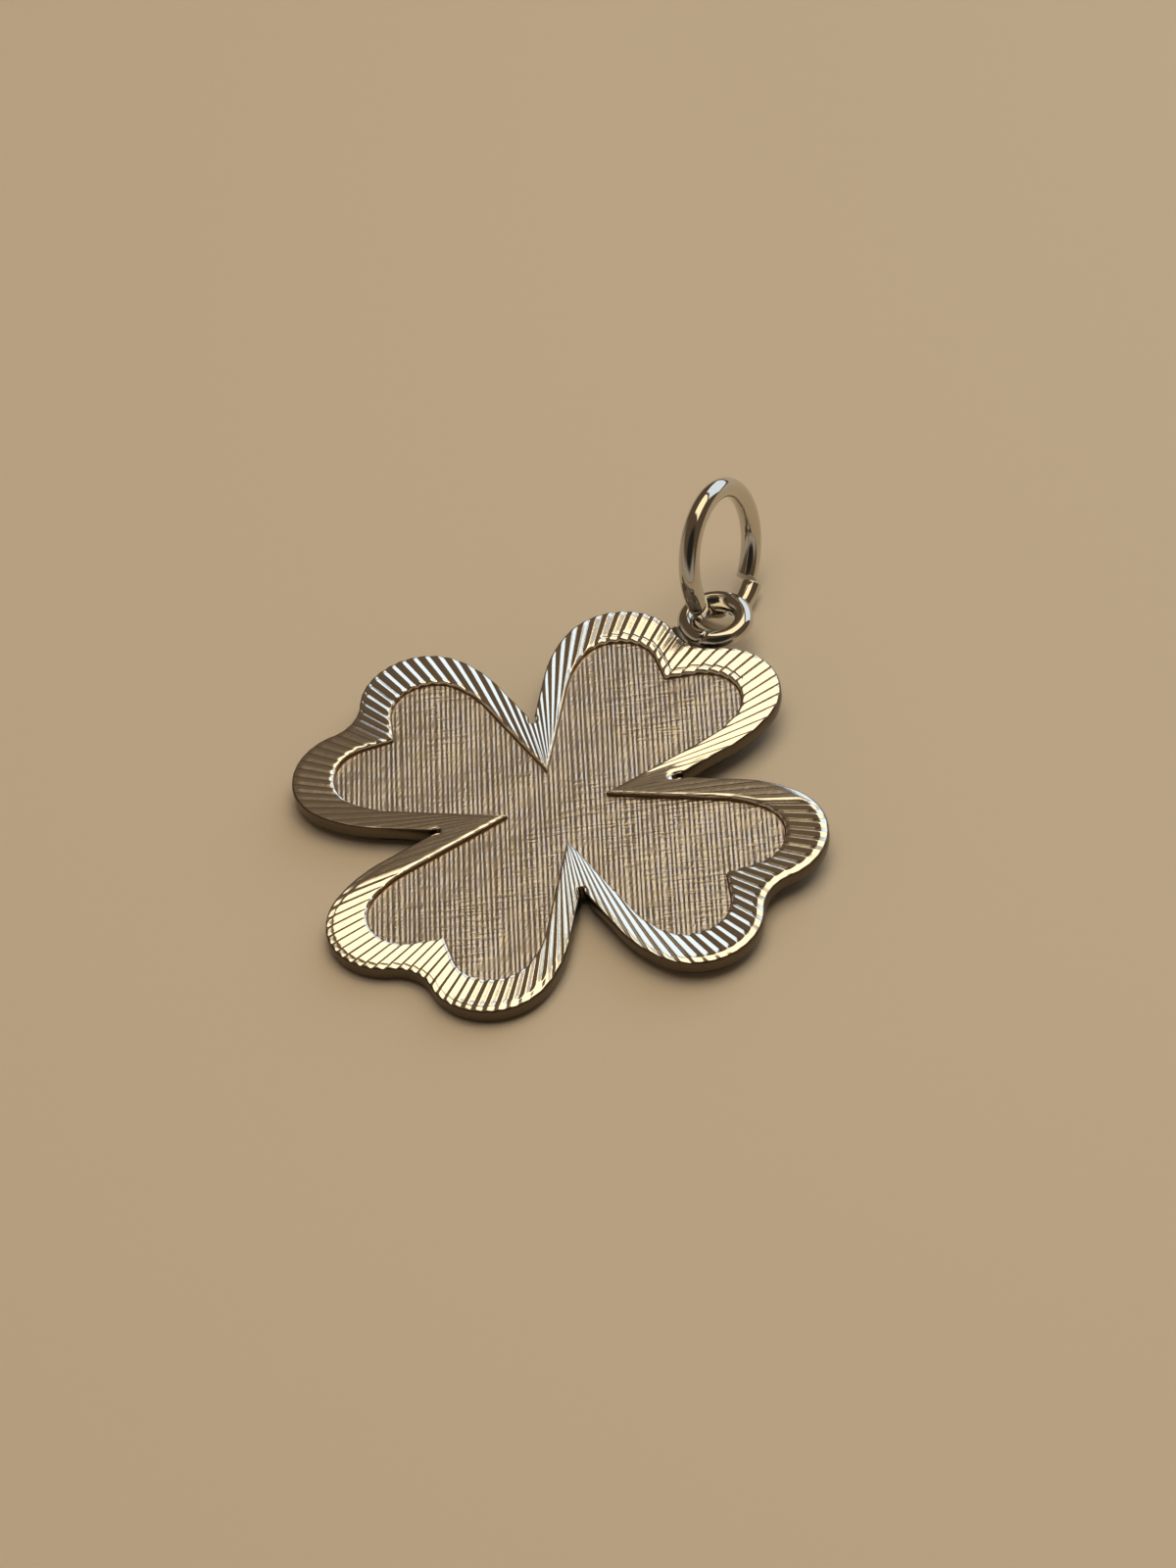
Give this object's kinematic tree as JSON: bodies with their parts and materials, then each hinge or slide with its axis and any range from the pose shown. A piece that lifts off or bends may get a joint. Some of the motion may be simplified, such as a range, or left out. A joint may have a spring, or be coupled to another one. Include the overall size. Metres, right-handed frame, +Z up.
{
  "type": "four leaf clover pendant",
  "caption": "Flat silver four leaf clover pendant with heart-shaped leaves, a bright-cut border, a hatched field, a soldered loop and an open jump ring.",
  "frame": {"origin": "on the table under the middle of the pendant's width and length, as it lies face up", "axes": "+Z up, away from the clover's back; +Y from the bottom leaf to the loop; +X to the right leaf, seen from above with the loop at the top"},
  "size_m": [0.0196, 0.0255, 0.0057],
  "materials": {
    "silver_plate": "sterling silver, bright-cut border round a hatched satin field",
    "silver_wire": "polished sterling silver wire"
  },
  "bodies": {
    "root": {"clover": "silver_plate", "jump_ring": "silver_wire"}
  },
  "joints": []
}
